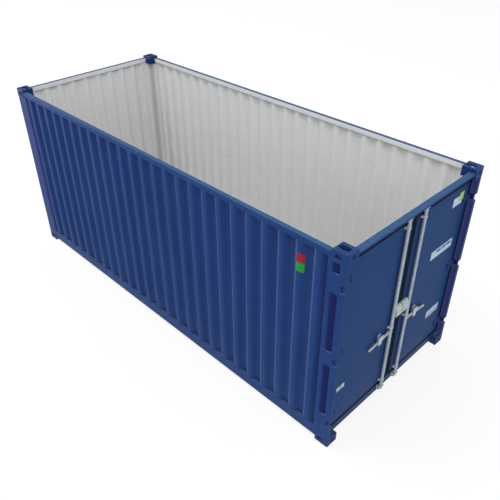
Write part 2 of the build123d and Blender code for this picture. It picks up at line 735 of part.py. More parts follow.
def keeper(level):
    """A plate on the frame with two ears that the cam turns between."""
    wide, high = KEEPER_PLATE
    back = DOOR_FRAME_X + KEEPER_PLATE_T
    plate = block(
        (DOOR_FRAME_X, back), (BAR_Y - wide / 2, BAR_Y + wide / 2),
        (level - high / 2, level + high / 2))
    for side in (-1, 1):
        inner = BAR_Y + side * KEEPER_GAP
        outer = inner + side * KEEPER_EAR_T
        half = KEEPER_EAR_H / 2
        ear = block((back, KEEPER_FRONT_X), (inner, outer), (level - half, level + half))
        front = ear.edges().filter_by(Axis.Y).group_by(Axis.X)[-1]
        plate += chamfer(front, KEEPER_CORNER_CUT)
    return plate


def locking_gear():
    save_pair("lock_bar", lock_bar())
    save_pair("handle", handle())
    low, high = [keeper(level) for level in KEEPER_LEVELS]
    save("bottom_keepers", [low, on_left(low)])
    save("top_keepers", [high, on_left(high)])


castings()
walls()
posts()
rails()
save("door_header", door_header())
save("door_sill", door_sill())
save("floor", floor())
save("cross_members", cross_members())
doors()
locking_gear()
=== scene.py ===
from math import radians
import bpy
from mathutils import Matrix, Vector


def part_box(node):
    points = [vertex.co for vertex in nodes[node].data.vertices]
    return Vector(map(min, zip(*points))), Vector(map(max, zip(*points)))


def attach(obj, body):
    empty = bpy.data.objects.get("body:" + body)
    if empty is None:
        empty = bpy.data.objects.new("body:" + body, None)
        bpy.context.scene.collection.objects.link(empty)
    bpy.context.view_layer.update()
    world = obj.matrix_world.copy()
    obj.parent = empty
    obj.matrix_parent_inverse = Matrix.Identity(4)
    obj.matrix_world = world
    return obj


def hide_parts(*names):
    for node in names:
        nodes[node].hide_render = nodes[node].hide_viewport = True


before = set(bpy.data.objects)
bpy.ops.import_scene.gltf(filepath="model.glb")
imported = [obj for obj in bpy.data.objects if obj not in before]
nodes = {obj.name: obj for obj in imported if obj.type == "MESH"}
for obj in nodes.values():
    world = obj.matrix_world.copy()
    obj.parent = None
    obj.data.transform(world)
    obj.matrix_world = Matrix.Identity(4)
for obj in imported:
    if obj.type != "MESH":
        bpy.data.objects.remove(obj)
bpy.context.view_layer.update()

sides = (("left", -1), ("right", 1))


# Corner castings
# Eight cast-steel blocks with thick walls round a hollow and a mouth in three faces.
# They carry the whole container when it is lifted, stacked or locked to a trailer,
# and are welded to the posts and rails, then painted with them.

def linear(hex_colour):
    """An sRGB hex colour as the linear value a shader takes."""
    parts = [int(hex_colour[i:i + 2], 16) / 255 for i in (1, 3, 5)]
    return [c / 12.92 if c <= 0.04045 else ((c + 0.055) / 1.055) ** 2.4 for c in parts] + [1.0]


def add_node(owner, kind, settings=None, inputs=None):
    """A shader node with its settings; an input is a value or the socket that feeds it."""
    node = owner.node_tree.nodes.new(kind)
    for key, value in (settings or {}).items():
        setattr(node, key, value)
    for key, value in (inputs or {}).items():
        if isinstance(value, bpy.types.NodeSocket):
            owner.node_tree.links.new(value, node.inputs[key])
        else:
            node.inputs[key].default_value = value
    return node


def new_material(name):
    """An empty material and its output node."""
    material = bpy.data.materials.new(name)
    material.use_nodes = True
    material.node_tree.nodes.clear()
    return material, add_node(material, "ShaderNodeOutputMaterial")


BLUE_PAINT = "#193468"
BLUE_FADED = "#1F3B6E"
# Rain streaks here, and the painted shade between the scales of weld runs.
BLUE_STREAK_AND_SHADE = "#152A56"
# The next two are painted shade: in nooks, and in a post's pressed recesses.
BLUE_NOOK_SHADE = "#222850"
BLUE_RECESS_SHADE = "#171F50"
# Dust on tops, which is also painted light there; then road dust.
ROOF_DUST_AND_LIGHT = "#4F7795"
ROAD_DUST = "#5C6A80"
# A painted highlight on faces that look to the front.
FORWARD_HIGHLIGHT = "#8090AC"
GREY_PAINT = "#DCDDDE"
GREY_SCUFFED = "#D2D4D5"
# Painted shade in the inner front corners.
CORNER_SHADE = "#AFB0B1"
OLD_RUST = "#5A3A2A"
# Where the painted shade in a post's recess starts, and where it is full.
RECESS_SHADE_STARTS_Y = 1.2158
RECESS_SHADE_FULL_Y = 1.208


def container_paint(name, inside=None, reach=(), blue=BLUE_PAINT, faded=BLUE_FADED,
                    grain=0.012, depth=0.0003, bare=0.0, pressed=0, roof_dust_and_light=1.0, hollow_light=None,
                    forward_highlight=0.0, nook_shade_tone=BLUE_NOOK_SHADE, grey=GREY_PAINT,
                    scuffed=GREY_SCUFFED, corner=None):
    """Two-coat acrylic topcoat over zinc primer on steel: satin blue outside, and light grey
    on faces that look along the inside direction and lie within reach, a row of limits that
    each are an axis, a comparison and a value. It is sprayed, so it has an orange peel; that
    is a few millimetres across and drawn at 12 mm so that it shows. Dust lies on what faces
    up, and that paler coat on the tops is also painted light; spray from the road dulls what
    is near the ground. Painted shade darkens the nooks, the grey inside along an upright
    line at the length called corner, and the pressed recesses of a post on the side that
    pressed names. Sun chalks the paint, so that it pales at low angles; a hollow is painted
    paler, as painted light where shade falls; and faces that look to the front carry a
    painted highlight."""
    paint, output = new_material(name)
    place = add_node(paint, "ShaderNodeTexCoord")
    spot = place.outputs["Object"]
    axes = add_node(paint, "ShaderNodeSeparateXYZ", None, {0: spot})
    facing = add_node(paint, "ShaderNodeSeparateXYZ", None, {0: place.outputs["Normal"]})
    speckle = add_node(paint, "ShaderNodeTexNoise", None, {
        "Vector": spot, "Scale": 60.0, "Detail": 6.0, "Roughness": 0.65})

    # Patches that the sun has faded, upright streaks where rain runs, and painted shade in the
    # nooks.
    fade = add_node(paint, "ShaderNodeTexNoise", None, {
        "Vector": spot, "Scale": 1.3, "Detail": 5.0, "Roughness": 0.6})
    patches = add_node(paint, "ShaderNodeMapRange", None, {
        "Value": fade.outputs["Fac"], "From Min": 0.38, "From Max": 0.72})
    run = add_node(paint, "ShaderNodeMapping", None, {"Vector": spot, "Scale": (14.0, 14.0, 0.55)})
    streak = add_node(paint, "ShaderNodeTexNoise", None, {
        "Vector": run.outputs["Vector"], "Scale": 1.0, "Detail": 4.0, "Roughness": 0.55})
    grime = add_node(paint, "ShaderNodeMapRange", None, {
        "Value": streak.outputs["Fac"], "From Min": 0.52, "From Max": 0.8, "To Max": 0.5})
    occlusion = add_node(paint, "ShaderNodeAmbientOcclusion", {"samples": 8}, {"Distance": 0.12})
    nooks = add_node(paint, "ShaderNodeMapRange", None, {
        "Value": occlusion.outputs["AO"], "From Min": 0.95, "From Max": 0.4, "To Max": 0.9})
    layers = [(patches, faded), (grime, BLUE_STREAK_AND_SHADE), (nooks, nook_shade_tone)]
    # Painted light: deep hollows are painted paler, where shade falls.
    if hollow_light:
        hollows = add_node(paint, "ShaderNodeMapRange", None, {
            "Value": occlusion.outputs["AO"], "From Min": 0.5, "From Max": 0.3})
        layers.append((hollows, hollow_light))

    # Dust on the faces that look up, which also stands in as painted light on the tops, and spray
    # that is thickest near the ground.
    roof_dust_and_light_share = add_node(paint, "ShaderNodeMath", {"operation": "MULTIPLY"}, {
        0: add_node(paint, "ShaderNodeMapRange", None, {
            "Value": facing.outputs["Z"], "From Min": 0.5, "From Max": 0.95}).outputs[0],
        1: add_node(paint, "ShaderNodeMapRange", None, {
            "Value": speckle.outputs["Fac"], "From Min": 0.3, "From Max": 0.7,
            "To Min": 0.15 * roof_dust_and_light, "To Max": 0.5 * roof_dust_and_light}).outputs[0]})
    splash = add_node(paint, "ShaderNodeMath", {"operation": "MULTIPLY"}, {
        0: add_node(paint, "ShaderNodeMapRange", None, {
            "Value": axes.outputs["Z"], "From Min": 0.6, "From Max": 0.05,
            "To Max": 0.08}).outputs[0],
        1: add_node(paint, "ShaderNodeMapRange", None, {
            "Value": speckle.outputs["Fac"], "From Min": 0.25, "From Max": 0.6,
            "To Min": 0.5, "To Max": 1.2}).outputs[0]})
    layers += [(roof_dust_and_light_share, ROOF_DUST_AND_LIGHT), (splash, ROAD_DUST)]
    # Painted highlight on the faces that look to the front.
    if forward_highlight:
        forwards = add_node(paint, "ShaderNodeMapRange", None, {
            "Value": facing.outputs["X"], "From Min": -0.3, "From Max": -0.5, "To Max": forward_highlight})
        layers.append((forwards, FORWARD_HIGHLIGHT))

    # Painted shade in a post's recesses, and chips where the paint has been knocked off.
    if pressed:
        low = add_node(paint, "ShaderNodeMapRange", None, {
            "Value": axes.outputs["Y"], "From Min": pressed * RECESS_SHADE_STARTS_Y,
            "From Max": pressed * RECESS_SHADE_FULL_Y, "To Max": 0.95})
        outward = add_node(paint, "ShaderNodeMapRange", None, {
            "Value": facing.outputs["Y"], "From Min": pressed * 0.2, "From Max": pressed * 0.4})
        recess_shade = add_node(paint, "ShaderNodeMath", {"operation": "MULTIPLY"}, {
            0: low.outputs[0], 1: outward.outputs[0]})
        layers.append((recess_shade, BLUE_RECESS_SHADE))
    if bare:
        chips = add_node(paint, "ShaderNodeMapRange", None, {
            "Value": speckle.outputs["Fac"], "From Min": 0.66, "From Max": 0.7, "To Max": bare})
        layers.append((chips, OLD_RUST))

    colour = linear(blue)
    for share, tone in layers:
        colour = add_node(paint, "ShaderNodeMix", {"data_type": "RGBA"}, {
            0: share.outputs[0], 6: colour, 7: linear(tone)}).outputs[2]

    # The grey coat inside, with level scuffs from the cargo.
    if inside or reach:
        rub = add_node(paint, "ShaderNodeMapping", None, {
            "Vector": spot, "Scale": (1.2, 1.2, 9.0)})
        scuff = add_node(paint, "ShaderNodeTexNoise", None, {
            "Vector": rub.outputs["Vector"], "Scale": 1.6, "Detail": 8.0, "Roughness": 0.7})
        coat = add_node(paint, "ShaderNodeMix", {"data_type": "RGBA"}, {
            0: add_node(paint, "ShaderNodeMapRange", None, {
                "Value": scuff.outputs["Fac"], "From Min": 0.52, "From Max": 0.85}).outputs[0],
            6: linear(grey), 7: linear(scuffed)})
        # Painted shade: the grey darkens along an upright line at the corner.
        if corner is not None:
            beside = add_node(paint, "ShaderNodeMath", {"operation": "SUBTRACT"}, {
                0: axes.outputs["X"], 1: corner})
            away = add_node(paint, "ShaderNodeMath", {"operation": "ABSOLUTE"}, {
                0: beside.outputs[0]})
            coat = add_node(paint, "ShaderNodeMix", {"data_type": "RGBA"}, {
                0: add_node(paint, "ShaderNodeMapRange", None, {
                    "Value": away.outputs[0], "From Min": 0.06, "From Max": 0.005}).outputs[0],
                6: coat.outputs[2], 7: linear(CORNER_SHADE)})
        mask = 1.0
        if inside:
            along = add_node(paint, "ShaderNodeVectorMath", {"operation": "DOT_PRODUCT"}, {
                0: place.outputs["Normal"], 1: inside})
            mask = add_node(paint, "ShaderNodeMath", {"operation": "GREATER_THAN"}, {
                0: along.outputs["Value"], 1: 0.35}).outputs[0]
        for axis, comparison, limit in reach:
            within = add_node(paint, "ShaderNodeMath", {"operation": comparison}, {
                0: axes.outputs[axis], 1: limit})
            mask = add_node(paint, "ShaderNodeMath", {"operation": "MULTIPLY"}, {
                0: mask, 1: within.outputs[0]}).outputs[0]
        colour = add_node(paint, "ShaderNodeMix", {"data_type": "RGBA"}, {
            0: mask, 6: colour, 7: coat.outputs[2]}).outputs[2]

    # Orange peel, and the long soft dents of welded sheet.
    peel = add_node(paint, "ShaderNodeTexNoise", None, {
        "Vector": spot, "Scale": 1.0 / grain, "Detail": 2.0})
    wave = add_node(paint, "ShaderNodeTexNoise", None, {
        "Vector": spot, "Scale": 3.5, "Detail": 1.0})
    fine = add_node(paint, "ShaderNodeBump", None, {
        "Height": peel.outputs["Fac"], "Distance": depth, "Strength": 0.8})
    bump = add_node(paint, "ShaderNodeBump", None, {
        "Height": wave.outputs["Fac"], "Distance": 0.004, "Strength": 0.5,
        "Normal": fine.outputs["Normal"]})
    rough = add_node(paint, "ShaderNodeMapRange", None, {
        "Value": fade.outputs["Fac"], "From Min": 0.3, "From Max": 0.75,
        "To Min": 0.38, "To Max": 0.52})
    shader = add_node(paint, "ShaderNodeBsdfPrincipled", None, {
        "Base Color": colour, "Roughness": rough.outputs[0], "Normal": bump.outputs["Normal"],
        "IOR": 1.5, "Specular IOR Level": 0.035, "Sheen Weight": 0.05,
        "Sheen Roughness": 0.2})
    paint.node_tree.links.new(shader.outputs[0], output.inputs[0])
    return paint


SAME_PLACE = 0.00005


def bevel_edges(piece, width, angle=35, steps=2):
    """Puts a bevel on the edges of a piece that bend by more than an angle."""
    bevel = piece.modifiers.new("edges", "BEVEL")
    bevel.width = width
    bevel.segments = steps
    bevel.limit_method = "ANGLE"
    bevel.angle_limit = radians(angle)
    return bevel


def finish_node(name, material, edge=0.0):
    """Gives a node of the frame its material and takes the sharpness off its edges."""
    piece = nodes[name]
    piece.data.materials.clear()
    piece.data.materials.append(material)
    if edge:
        weld = piece.modifiers.new("merged", "WELD")
        weld.merge_threshold = SAME_PLACE
        bevel_edges(piece, edge).harden_normals = True


# The hollows of the castings are painted paler, as painted light where shade falls.
cast_paint = container_paint(
    "blue_paint_on_cast_steel", grain=0.009, depth=0.0012, bare=0.25, roof_dust_and_light=0.3, hollow_light="#4A6CA4")
for end in ("door", "front"):
    for level in ("top", "bottom"):
        for side, sign in sides:
            finish_node(f"casting_{end}_{level}_{side}", cast_paint, edge=0.0035)


# Weld runs round the castings
# Each casting is joined to its post and rails by a fillet weld about 7 mm wide, laid by
# hand and painted over, so its ripples show softly through the paint.

def clear_selection():
    """Leaves nothing selected, so that an operator acts on what comes next alone."""
    bpy.ops.object.select_all(action="DESELECT")


def pick(*pieces):
    """Selects these pieces alone, with the first one active."""
    clear_selection()
    for piece in pieces:
        piece.select_set(True)
    bpy.context.view_layer.objects.active = pieces[0]


def settle(name):
    """Names the new primitive and puts its place, turn and scale into its mesh."""
    piece = bpy.context.active_object
    piece.name = name
    piece.data.name = name
    bpy.ops.object.transform_apply(location=True, rotation=True, scale=True)
    return piece


def start_block(name, low, high):
    """A block between two corners, as the start of a piece."""
    clear_selection()
    low, high = Vector(low), Vector(high)
    bpy.ops.mesh.primitive_cube_add(size=1, location=(low + high) / 2, scale=high - low)
    return settle(name)


def start_round(name, start, end, radius, around=16):
    """A round bar between two points, as the start of a piece."""
    clear_selection()
    start, end = Vector(start), Vector(end)
    turn = (end - start).to_track_quat("Z", "Y").to_euler()
    bpy.ops.mesh.primitive_cylinder_add(
        vertices=around, radius=radius, depth=(end - start).length,
        location=(start + end) / 2, rotation=turn)
    return settle(name)


def open_faces(piece, test):
    """Opens a piece in edit mode with the faces selected that pass test(centre, normal)."""
    pick(piece)
    bpy.context.tool_settings.mesh_select_mode = (False, False, True)
    for part in (piece.data.edges, piece.data.vertices):
        part.foreach_set("select", [False] * len(part))
    for face in piece.data.polygons:
        face.select = bool(test(face.center, face.normal))
    bpy.ops.object.mode_set(mode="EDIT")


def press(piece, test, inset=0.0, push=(0, 0, 0)):
    """Insets the faces that pass the test and moves them in or out."""
    open_faces(piece, test)
    if inset:
        bpy.ops.mesh.inset(thickness=inset)
    bpy.ops.transform.translate(value=push)
    bpy.ops.object.mode_set(mode="OBJECT")


def soften(piece, width=0.0, angle=35, steps=2):
    """Bevels a piece's sharp edges for good and shades it smooth across them."""
    pick(piece)
    if width:
        bevel_edges(piece, width, angle, steps)
        bpy.ops.object.modifier_apply(modifier="edges")
    bpy.ops.object.shade_smooth_by_angle(angle=radians(angle))


def double(piece):
    """A second piece like the first, with its own mesh."""
    twin = piece.copy()
    twin.data = piece.data.copy()
    bpy.context.scene.collection.objects.link(twin)
    return twin


def join(name, pieces):
    """Joins pieces into the first of them."""
    pick(*pieces)
    bpy.ops.object.join()
    pieces[0].name = name
    pieces[0].data.name = name
    return pieces[0]


def repeat(name, piece, places):
    """Puts a copy of a piece at each place and joins the copies into one piece."""
    copies = []
    for place in places:
        copies.append(double(piece))
        copies[-1].data.transform(Matrix.Translation(place))
    bpy.data.objects.remove(piece)
    return join(name, copies)


def dress(piece, body, material):
    """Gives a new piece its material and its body."""
    piece.data.materials.clear()
    piece.data.materials.append(material)
    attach(piece, body)


# The same paint over weld metal: a row of soft scales about 7 mm long, with painted shade between
# them.
weld_paint, weld_output = new_material("blue_paint_over_weld_run")
place = add_node(weld_paint, "ShaderNodeTexCoord")
ripple = add_node(weld_paint, "ShaderNodeTexVoronoi", None, {
    "Vector": place.outputs["Object"], "Scale": 140.0, "Randomness": 0.6})
ripple_bump = add_node(weld_paint, "ShaderNodeBump", None, {
    "Height": ripple.outputs["Distance"], "Distance": 0.0012, "Strength": 0.7})
ripple_shade = add_node(weld_paint, "ShaderNodeMix", {"data_type": "RGBA"}, {
    0: ripple.outputs["Distance"], 6: linear(BLUE_PAINT), 7: linear(BLUE_STREAK_AND_SHADE)})
weld_shader = add_node(weld_paint, "ShaderNodeBsdfPrincipled", None, {
    "Base Color": ripple_shade.outputs[2], "Roughness": 0.5, "IOR": 1.5,
    "Specular IOR Level": 0.3, "Normal": ripple_bump.outputs["Normal"]})
weld_paint.node_tree.links.new(weld_shader.outputs[0], weld_output.inputs[0])

WELD_R = 0.0035
SIDE_FACE_Y = 1.219
END_FACE_X = 3.029
WELD_LEVELS = (2.474, 0.117)
SIDE_WELD_X = (2.852, 3.020)
END_WELD_Y = {"door": (1.210, 1.166), "front": (1.210, 1.058)}


def weld_run(start, end):
    """A rounded run of weld metal between two points, drawn thin at its two ends."""
    run = start_round("run", start, end, WELD_R, around=10)
    along = (Vector(end) - Vector(start)).normalized()
    for sign in (1, -1):
        press(run, lambda centre, normal: normal.dot(along) * sign > 0.9,
              inset=WELD_R * 0.45, push=along * sign * WELD_R * 0.6)
    soften(run, angle=60)
    return run


runs = []
for side, sign in sides:
    for end, way in (("door", 1), ("front", -1)):
        y, x = sign * (SIDE_FACE_Y - WELD_R), way * (END_FACE_X - WELD_R)
        for z in WELD_LEVELS:
            runs.append(weld_run(*[(way * reach, y, z) for reach in SIDE_WELD_X]))
            runs.append(weld_run(*[(x, sign * reach, z) for reach in END_WELD_Y[end]]))
dress(join("casting_weld_runs", runs), "frame", weld_paint)


# Posts
# Door posts are folded from 6 mm plate with lugs for the hinge pins and wedge-shaped
# recesses in the side face; front posts are one folded section. Both are welded to the
# castings above and below. Their faces towards the cargo are painted grey; the slanting
# front ones lie in the corners, and painted shade darkens them along the corner's middle.
# The nooks and the door posts' recesses get painted shade as well.

DOOR_LIP_X = 2.9
FRONT_LIP_Y = 1.1735
FRONT_PLATE_X = -2.984
CORNER_X = -2.912
# Painted shade for the posts' nooks, paler than the walls'.
POST_NOOK_SHADE = "#50508F"
for side, sign in sides:
    finish_node(f"door_post_{side}", container_paint(
        f"door_post_paint_{side}", inside=(0, -sign, 0), reach=[("X", "LESS_THAN", DOOR_LIP_X)],
        pressed=sign, nook_shade_tone=POST_NOOK_SHADE), edge=0.004)
    finish_node(f"front_post_{side}", container_paint(
        f"front_post_paint_{side}", inside=(0.66, -0.75 * sign, 0),
        reach=[("Y", "LESS_THAN" if sign > 0 else "GREATER_THAN", sign * FRONT_LIP_Y),
               ("X", "GREATER_THAN", FRONT_PLATE_X)],
        nook_shade_tone=POST_NOOK_SHADE, corner=CORNER_X), edge=0.004)


# Rails
# Square tubes along the top of the sides and the front, channels along the bottom.
# The walls are welded between them. Only the faces towards the cargo are grey, above the
# floor, and the front end's grey is painted a little darker, as painted shade.

ABOVE_FLOOR = ("Z", "GREATER_THAN", 0.15)
for side, sign in sides:
    # The side paint carries the painted highlight on faces that look to the front.
    side_paint = container_paint(
        f"side_paint_{side}", inside=(0, -sign, 0), reach=[ABOVE_FLOOR], forward_highlight=0.11)
    finish_node(f"top_rail_{side}", side_paint, edge=0.004)
    finish_node(f"bottom_rail_{side}", side_paint, edge=0.002)
# The front end's inside grey is a little darker: painted shade.
front_paint = container_paint(
    "front_wall_paint", inside=(1, 0, 0), reach=[ABOVE_FLOOR], grey="#D5D6D7", scuffed="#CACCCD")
finish_node("front_top_rail", front_paint, edge=0.004)
finish_node("front_sill", front_paint, edge=0.002)


# Header and sill of the door end
# The header is a plate that the door seals close against with a flat hollow visor welded
# over it; the sill is a channel. Both are painted blue, grey only on the cargo side.

end_paint = container_paint("door_end_paint", inside=(-1, 0, 0), reach=[ABOVE_FLOOR])
finish_node("door_header", end_paint, edge=0.002)
finish_node("door_sill", end_paint, edge=0.002)


# Corrugated walls
# Pressed 2 mm sheet: each bend is rolled to about 25 mm radius, which spares the sheet
# from cracking. The sheets are welded all round to posts and rails.

HAIR = 0.001
BEND_REACH = 0.008


def worked_copy(name):
    """A merged copy of a frame node's mesh that can be shaped."""
    piece = double(nodes[name])
    for key in list(piece.keys()):
        if key.startswith("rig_"):
            del piece[key]
    piece.parent = None
    piece.matrix_world = Matrix.Identity(4)
    piece.modifiers.clear()
    piece.name = f"{name}_worked"
    piece.data.name = piece.name
    pick(piece)
    bpy.ops.mesh.customdata_custom_splitnormals_clear()
    bpy.ops.object.mode_set(mode="EDIT")
    bpy.ops.mesh.select_all(action="SELECT")
    bpy.ops.mesh.remove_doubles(threshold=SAME_PLACE)
    bpy.ops.mesh.dissolve_limited(angle_limit=radians(1))
    bpy.ops.mesh.select_all(action="DESELECT")
    bpy.ops.object.mode_set(mode="OBJECT")
    return piece


def open_edges(piece, test):
    """Opens a piece in edit mode with the edges selected that pass test(one end, other end)."""
    pick(piece)
    bpy.context.tool_settings.mesh_select_mode = (False, True, False)
    corners = piece.data.vertices
    for part in (piece.data.polygons, corners):
        part.foreach_set("select", [False] * len(part))
    for edge in piece.data.edges:
        edge.select = bool(test(corners[edge.vertices[0]].co, corners[edge.vertices[1]].co))
    bpy.ops.object.mode_set(mode="EDIT")


def wall_seams(sheet, name, along):
    """Weld runs that follow the bends of a wall where it meets the rails."""
    low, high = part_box(name)
    seams = double(sheet)
    open_edges(seams, lambda a, b: abs(a.z - b.z) < HAIR and abs(a[along] - b[along]) > HAIR / 10
               and min(abs(a.z - low[2]), abs(a.z - high[2])) < HAIR)
    bpy.ops.mesh.select_all(action="INVERT")
    bpy.ops.mesh.delete(type="EDGE")
    bpy.ops.object.mode_set(mode="OBJECT")
    bpy.ops.object.convert(target="CURVE")
    seams = bpy.context.active_object
    seams.data.bevel_depth = WELD_R
    seams.data.bevel_resolution = 1
    seams.data.use_fill_caps = True
    bpy.ops.object.convert(target="MESH")
    seams = bpy.context.active_object
    seams.name = seams.data.name = f"{name}_weld_runs"
    soften(seams, angle=60)
    return seams


def bend_sheet(name, material, along):
    """Rounds the upright bends of a pressed wall, all but its two ends, and welds it in."""
    sheet = worked_copy(name)
    low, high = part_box(name)
    open_edges(sheet, lambda a, b: abs(a.z - b.z) > 1.0
               and low[along] + HAIR < a[along] < high[along] - HAIR)
    bpy.ops.mesh.bevel(offset=BEND_REACH, segments=4, clamp_overlap=True)
    bpy.ops.object.mode_set(mode="OBJECT")
    dress(wall_seams(sheet, name, along), "frame", material)
    soften(sheet, angle=25)
    dress(sheet, "frame", material)
    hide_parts(name)


for side, sign in sides:
    bend_sheet(f"side_wall_{side}", bpy.data.materials[f"side_paint_{side}"], 0)
bend_sheet("front_wall", front_paint, 1)


# Floor and cross members
# Plywood boards 28 mm thick lie on channels that run across under them. The boards are
# bare and dulled by use, and screwed down; the channels are painted.

# Keruing plywood: straight brown grain under pale trodden dirt, with dark joints between
# the boards. The grain is drawn about 30 mm wide, far coarser than it is, so that it shows.
plywood, plywood_output = new_material("keruing_plywood_floor")
place = add_node(plywood, "ShaderNodeTexCoord")
grain_run = add_node(plywood, "ShaderNodeMapping", None, {
    "Vector": place.outputs["Object"], "Scale": (1.5, 34.0, 8.0)})
grain = add_node(plywood, "ShaderNodeTexNoise", None, {
    "Vector": grain_run.outputs["Vector"], "Scale": 1.0, "Detail": 8.0, "Distortion": 0.4})
wood = add_node(plywood, "ShaderNodeMix", {"data_type": "RGBA"}, {
    0: grain.outputs["Fac"], 6: linear("#9A8B7B"), 7: linear("#B9AC9C")})
joints = add_node(plywood, "ShaderNodeTexBrick", {"offset": 0.5}, {
    "Vector": place.outputs["Object"], "Scale": 1.0, "Brick Width": 2.4, "Row Height": 1.164,
    "Mortar Size": 0.004, "Color1": (1, 1, 1, 1), "Color2": (0.86, 0.86, 0.86, 1),
    "Mortar": (0.08, 0.08, 0.08, 1)})
boards = add_node(plywood, "ShaderNodeMix", {"data_type": "RGBA", "blend_type": "MULTIPLY"}, {
    0: 1.0, 6: wood.outputs[2], 7: joints.outputs["Color"]})
trodden = add_node(plywood, "ShaderNodeTexNoise", None, {
    "Vector": place.outputs["Object"], "Scale": 2.2, "Detail": 6.0, "Roughness": 0.65})
trodden_share = add_node(plywood, "ShaderNodeMapRange", None, {
    "Value": trodden.outputs["Fac"], "From Min": 0.3, "From Max": 0.6, "To Max": 0.8})
dusty_boards = add_node(plywood, "ShaderNodeMix", {"data_type": "RGBA"}, {
    0: trodden_share.outputs[0], 6: boards.outputs[2], 7: linear("#CFCFCE")})
wood_bump = add_node(plywood, "ShaderNodeBump", None, {
    "Height": grain.outputs["Fac"], "Distance": 0.0006, "Strength": 0.6})
wood_shader = add_node(plywood, "ShaderNodeBsdfPrincipled", None, {
    "Base Color": dusty_boards.outputs[2], "Roughness": 0.72,
    "Normal": wood_bump.outputs["Normal"]})
plywood.node_tree.links.new(wood_shader.outputs[0], plywood_output.inputs[0])
finish_node("floor", plywood)
finish_node("cross_members", end_paint, edge=0.0015)

# Hot-dip galvanised steel has a dull grey skin with faint zinc spangle about 12 mm across.
zinc, zinc_output = new_material("hot_dip_galvanised_steel")
place = add_node(zinc, "ShaderNodeTexCoord")
spangle = add_node(zinc, "ShaderNodeTexVoronoi", None, {
    "Vector": place.outputs["Object"], "Scale": 85.0, "Randomness": 1.0})
cloud = add_node(zinc, "ShaderNodeTexNoise", None, {
    "Vector": place.outputs["Object"], "Scale": 9.0, "Detail": 6.0})
spangle_grey = add_node(zinc, "ShaderNodeSeparateColor", None, {0: spangle.outputs["Color"]})
shade = add_node(zinc, "ShaderNodeMix", {"data_type": "RGBA"}, {
    0: spangle_grey.outputs[0], 6: linear("#9CA5AA"), 7: linear("#AEB7BB")})
stain_share = add_node(zinc, "ShaderNodeMapRange", None, {
    "Value": cloud.outputs["Fac"], "From Min": 0.45, "From Max": 0.75, "To Max": 0.5})
stain = add_node(zinc, "ShaderNodeMix", {"data_type": "RGBA"}, {
    0: stain_share.outputs[0], 6: shade.outputs[2], 7: linear("#8C9293")})
zinc_rough = add_node(zinc, "ShaderNodeMapRange", None, {
    "Value": cloud.outputs["Fac"], "To Min": 0.38, "To Max": 0.62})
zinc_bump = add_node(zinc, "ShaderNodeBump", None, {
    "Height": cloud.outputs["Fac"], "Distance": 0.001, "Strength": 0.4})
zinc_shader = add_node(zinc, "ShaderNodeBsdfPrincipled", None, {
    "Base Color": stain.outputs[2], "Metallic": 0.25, "Roughness": zinc_rough.outputs[0],
    "Normal": zinc_bump.outputs["Normal"]})
zinc.node_tree.links.new(zinc_shader.outputs[0], zinc_output.inputs[0])

FLOOR_TOP = 0.178
MEMBERS = 18
MEMBER_SPAN = 5.6
SCREW_OFF_MEMBER = 0.02
SCREW_LINES = (0.12, 0.35, 0.6, 0.85, 1.08)
screw = start_round("screw", (0, 0, 0), (0, 0, 0.0012), 0.0065, around=10)
press(screw, lambda centre, normal: normal.z > 0.9, inset=0.002)
press(screw, lambda centre, normal: normal.z > 0.9 and centre.length < 0.003,
      inset=0.0008, push=(0, 0, -0.0009))
soften(screw, angle=40)
places = []
for number in range(MEMBERS):
    x = number * MEMBER_SPAN / (MEMBERS - 1) - MEMBER_SPAN / 2
    x += -SCREW_OFF_MEMBER if x > 0 else SCREW_OFF_MEMBER
    places += [Vector((x, sign * y, FLOOR_TOP)) for side, sign in sides for y in SCREW_LINES]
dress(repeat("floor_screws", screw, places), "frame", zinc)


# Locking gear, hinge pins and keepers
# Tubes, forgings and pressings of steel, galvanised before they are bolted or welded on.
# A riveted pin holds each handle in its fork.

# Grease pressed into the hinges creeps out over the zinc and takes up dust.
greased, greased_output = new_material("greased_galvanised_steel")
place = add_node(greased, "ShaderNodeTexCoord")
smear = add_node(greased, "ShaderNodeTexNoise", None, {
    "Vector": place.outputs["Object"], "Scale": 60.0, "Detail": 5.0, "Roughness": 0.6})
smear_colour = add_node(greased, "ShaderNodeMix", {"data_type": "RGBA"}, {
    0: smear.outputs["Fac"], 6: linear("#1C2A4A"), 7: linear("#4A5870")})
smear_bump = add_node(greased, "ShaderNodeBump", None, {
    "Height": smear.outputs["Fac"], "Distance": 0.0008, "Strength": 0.5})
greased_shader = add_node(greased, "ShaderNodeBsdfPrincipled", None, {
    "Base Color": smear_colour.outputs[2], "Roughness": 0.42, "Specular IOR Level": 0.2,
    "Normal": smear_bump.outputs["Normal"]})
greased.node_tree.links.new(greased_shader.outputs[0], greased_output.inputs[0])

# The zinc on the smooth bars is thinner than on the forgings, so it looks bluer and duller.
bar_zinc = zinc.copy()
bar_zinc.name = "galvanised_smooth_tube"
for node, key, tone in ((shade, 6, "#92A0AE"), (shade, 7, "#A3B1BF"), (stain, 7, "#838D96")):
    bar_zinc.node_tree.nodes[node.name].inputs[key].default_value = linear(tone)

